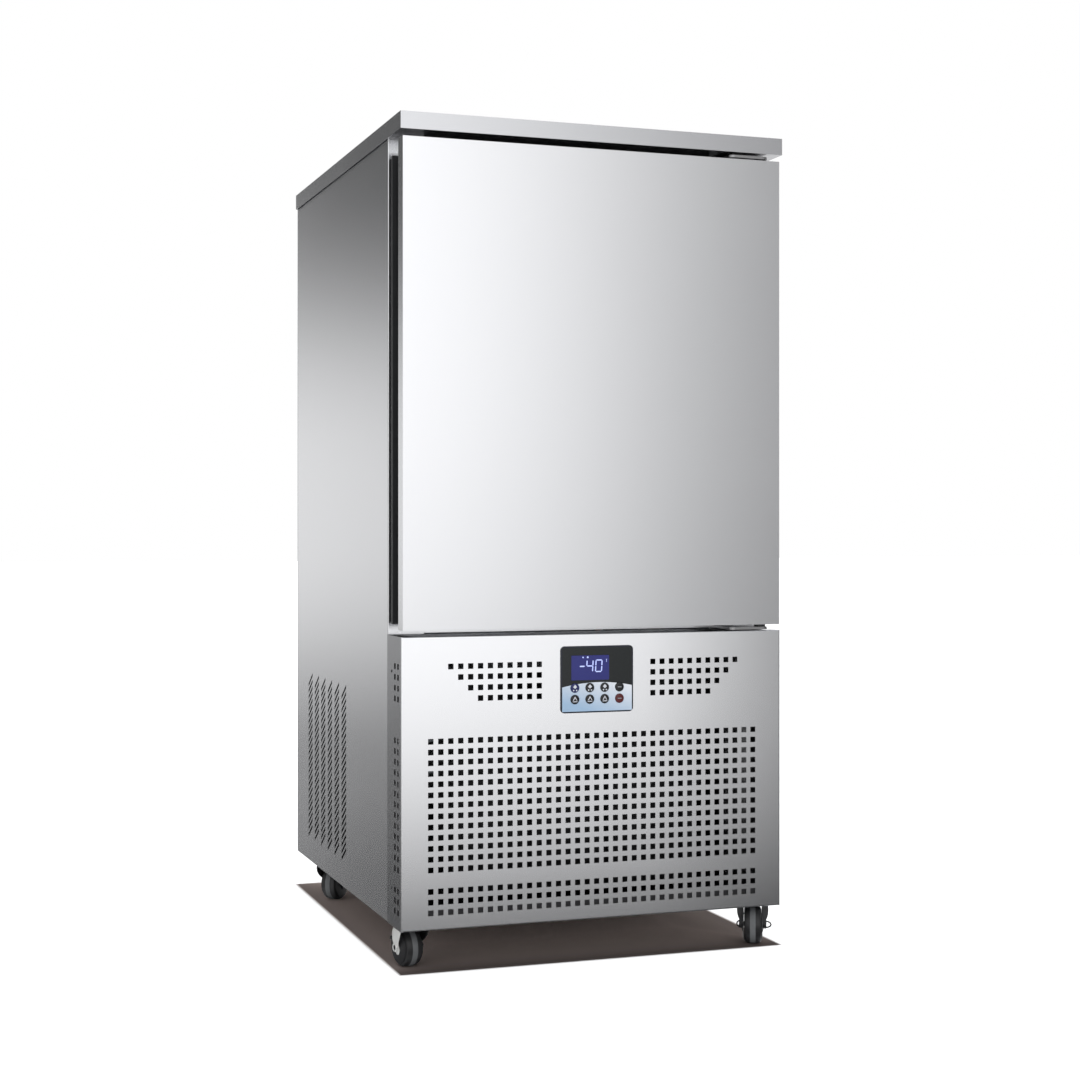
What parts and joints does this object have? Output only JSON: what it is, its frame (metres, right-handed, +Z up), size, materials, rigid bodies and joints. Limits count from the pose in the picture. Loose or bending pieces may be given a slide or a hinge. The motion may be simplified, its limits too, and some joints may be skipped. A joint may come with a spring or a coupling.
{
  "type": "blast chiller",
  "caption": "Upright blast chiller on casters: insulated steel cabinet with a full-height grip door, pan runners, and a perforated machine compartment with a key panel.",
  "frame": {"origin": "on the floor under the middle of the cabinet's footprint", "axes": "+X to the right seen from the front, +Y to the back, +Z up"},
  "size_m": [0.8, 0.9, 1.627],
  "materials": {
    "stainless": "fine brushed stainless steel",
    "galvanised": "galvanised sheet steel",
    "zinc": "zinc-plated steel",
    "aluminium": "mill-finish aluminium fins",
    "copper": "bare copper tube",
    "foam": "rigid polyurethane foam",
    "grey_plastic": "grey moulded plastic",
    "black_plastic": "satin black moulded plastic",
    "black_paint": "black enamel",
    "black_rubber": "hard rubber tread",
    "gasket_rubber": "soft magnetic seal",
    "panel_film": "pale blue overlay with a black upper field",
    "display": "deep blue display pane",
    "board": "green circuit board"
  },
  "bodies": {
    "cabinet": {"top_cover": "stainless", "side_panel_left": "stainless", "side_panel_right": "stainless", "rear_panel": "galvanised", "cabinet_floor": "stainless", "head_rail": "stainless", "base_tray": "galvanised", "foam_insulation": "foam", "inner_liner": "stainless", "door_frame": "grey_plastic", "lower_front_panel": "stainless", "control_fascia": "panel_film", "display_window": "display", "control_board": "board", "tray_rack_left": "stainless", "tray_rack_right": "stainless", "evaporator_cover": "stainless", "evaporator_coil": "aluminium", "suction_pipe": "copper", "compressor": "black_paint", "condenser_coil": "aluminium", "condenser_shroud": "galvanised", "condenser_motor": "black_paint", "liquid_receiver": "black_paint", "hinge_lower": "zinc", "hinge_upper": "zinc", "evaporator_motor_1": "grey_plastic", "evaporator_motor_2": "grey_plastic", "caster_plate_front_left": "zinc", "caster_plate_front_right": "zinc", "caster_plate_rear_left": "zinc", "caster_plate_rear_right": "zinc"},
    "door": {"door_skin": "stainless", "door_core": "foam", "door_liner": "stainless", "door_gasket": "gasket_rubber", "door_grip": "black_plastic", "hinge_bush_lower": "black_plastic", "hinge_bush_upper": "black_plastic"},
    "push_key_1": {"key_1": "black_plastic"},
    "push_key_2": {"key_2": "black_plastic"},
    "push_key_3": {"key_3": "black_plastic"},
    "push_key_4": {"key_4": "black_plastic"},
    "push_key_5": {"key_5": "black_plastic"},
    "push_key_6": {"key_6": "black_plastic"},
    "push_key_7": {"key_7": "black_plastic"},
    "push_key_8": {"key_8": "black_plastic"},
    "evaporator_rotor_1": {"evaporator_fan_1": "black_plastic"},
    "evaporator_rotor_2": {"evaporator_fan_2": "black_plastic"},
    "condenser_rotor": {"condenser_fan": "aluminium"},
    "swivel_front_left": {"caster_fork_front_left": "zinc"},
    "wheel_front_left": {"caster_wheel_front_left": "black_rubber"},
    "brake_front_left": {"caster_brake_front_left": "black_paint"},
    "swivel_front_right": {"caster_fork_front_right": "zinc"},
    "wheel_front_right": {"caster_wheel_front_right": "black_rubber"},
    "brake_front_right": {"caster_brake_front_right": "black_paint"},
    "swivel_rear_left": {"caster_fork_rear_left": "zinc"},
    "wheel_rear_left": {"caster_wheel_rear_left": "black_rubber"},
    "swivel_rear_right": {"caster_fork_rear_right": "zinc"},
    "wheel_rear_right": {"caster_wheel_rear_right": "black_rubber"}
  },
  "joints": [
    {"name": "door_hinge", "type": "hinge", "parent": "cabinet", "child": "door", "pos_m": [0.359, -0.4315, 1.1145], "axis": [0, 0, 1], "range_deg": [0, 110]},
    {"name": "key_1_press", "type": "slide", "parent": "cabinet", "child": "push_key_1", "axis": [0, 1, 0], "range_m": [0, 0.0012], "stiffness_N_per_m": 300, "springref_m": -0.001},
    {"name": "key_2_press", "type": "slide", "parent": "cabinet", "child": "push_key_2", "axis": [0, 1, 0], "range_m": [0, 0.0012], "stiffness_N_per_m": 300, "springref_m": -0.001},
    {"name": "key_3_press", "type": "slide", "parent": "cabinet", "child": "push_key_3", "axis": [0, 1, 0], "range_m": [0, 0.0012], "stiffness_N_per_m": 300, "springref_m": -0.001},
    {"name": "key_4_press", "type": "slide", "parent": "cabinet", "child": "push_key_4", "axis": [0, 1, 0], "range_m": [0, 0.0012], "stiffness_N_per_m": 300, "springref_m": -0.001},
    {"name": "key_5_press", "type": "slide", "parent": "cabinet", "child": "push_key_5", "axis": [0, 1, 0], "range_m": [0, 0.0012], "stiffness_N_per_m": 300, "springref_m": -0.001},
    {"name": "key_6_press", "type": "slide", "parent": "cabinet", "child": "push_key_6", "axis": [0, 1, 0], "range_m": [0, 0.0012], "stiffness_N_per_m": 300, "springref_m": -0.001},
    {"name": "key_7_press", "type": "slide", "parent": "cabinet", "child": "push_key_7", "axis": [0, 1, 0], "range_m": [0, 0.0012], "stiffness_N_per_m": 300, "springref_m": -0.001},
    {"name": "key_8_press", "type": "slide", "parent": "cabinet", "child": "push_key_8", "axis": [0, 1, 0], "range_m": [0, 0.0012], "stiffness_N_per_m": 300, "springref_m": -0.001},
    {"name": "evaporator_fan_1_spin", "type": "hinge", "parent": "cabinet", "child": "evaporator_rotor_1", "pos_m": [0, 0.1871, 0.931], "axis": [0, 1, 0], "continuous": true},
    {"name": "evaporator_fan_2_spin", "type": "hinge", "parent": "cabinet", "child": "evaporator_rotor_2", "pos_m": [0, 0.1871, 1.301], "axis": [0, 1, 0], "continuous": true},
    {"name": "condenser_fan_spin", "type": "hinge", "parent": "cabinet", "child": "condenser_rotor", "pos_m": [0, -0.2392, 0.3338], "axis": [0, 1, 0], "continuous": true},
    {"name": "caster_front_left_swivel", "type": "hinge", "parent": "cabinet", "child": "swivel_front_left", "pos_m": [-0.363, -0.3935, 0.088], "axis": [0, 0, 1], "continuous": true},
    {"name": "caster_front_left_roll", "type": "hinge", "parent": "swivel_front_left", "child": "wheel_front_left", "pos_m": [-0.36613, -0.37577, 0.0375], "axis": [-0.9848, -0.1736, 0], "continuous": true},
    {"name": "caster_front_left_brake", "type": "hinge", "parent": "swivel_front_left", "child": "brake_front_left", "pos_m": [-0.36613, -0.37577, 0.0375], "axis": [-0.9848, -0.1736, 0], "range_deg": [0, 20]},
    {"name": "caster_front_right_swivel", "type": "hinge", "parent": "cabinet", "child": "swivel_front_right", "pos_m": [0.363, -0.3935, 0.088], "axis": [0, 0, 1], "continuous": true},
    {"name": "caster_front_right_roll", "type": "hinge", "parent": "swivel_front_right", "child": "wheel_front_right", "pos_m": [0.35483, -0.40954, 0.0375], "axis": [0.891, -0.454, 0], "continuous": true},
    {"name": "caster_front_right_brake", "type": "hinge", "parent": "swivel_front_right", "child": "brake_front_right", "pos_m": [0.35483, -0.40954, 0.0375], "axis": [-0.891, 0.454, 0], "range_deg": [0, 20]},
    {"name": "caster_rear_left_swivel", "type": "hinge", "parent": "cabinet", "child": "swivel_rear_left", "pos_m": [-0.363, 0.25, 0.088], "axis": [0, 0, 1], "continuous": true},
    {"name": "caster_rear_left_roll", "type": "hinge", "parent": "swivel_rear_left", "child": "wheel_rear_left", "pos_m": [-0.35096, 0.26338, 0.0375], "axis": [-0.7431, 0.6691, 0], "continuous": true},
    {"name": "caster_rear_right_swivel", "type": "hinge", "parent": "cabinet", "child": "swivel_rear_right", "pos_m": [0.363, 0.25, 0.088], "axis": [0, 0, 1], "continuous": true},
    {"name": "caster_rear_right_roll", "type": "hinge", "parent": "swivel_rear_right", "child": "wheel_rear_right", "pos_m": [0.354, 0.26559, 0.0375], "axis": [-0.866, -0.5, 0], "continuous": true}
  ]
}
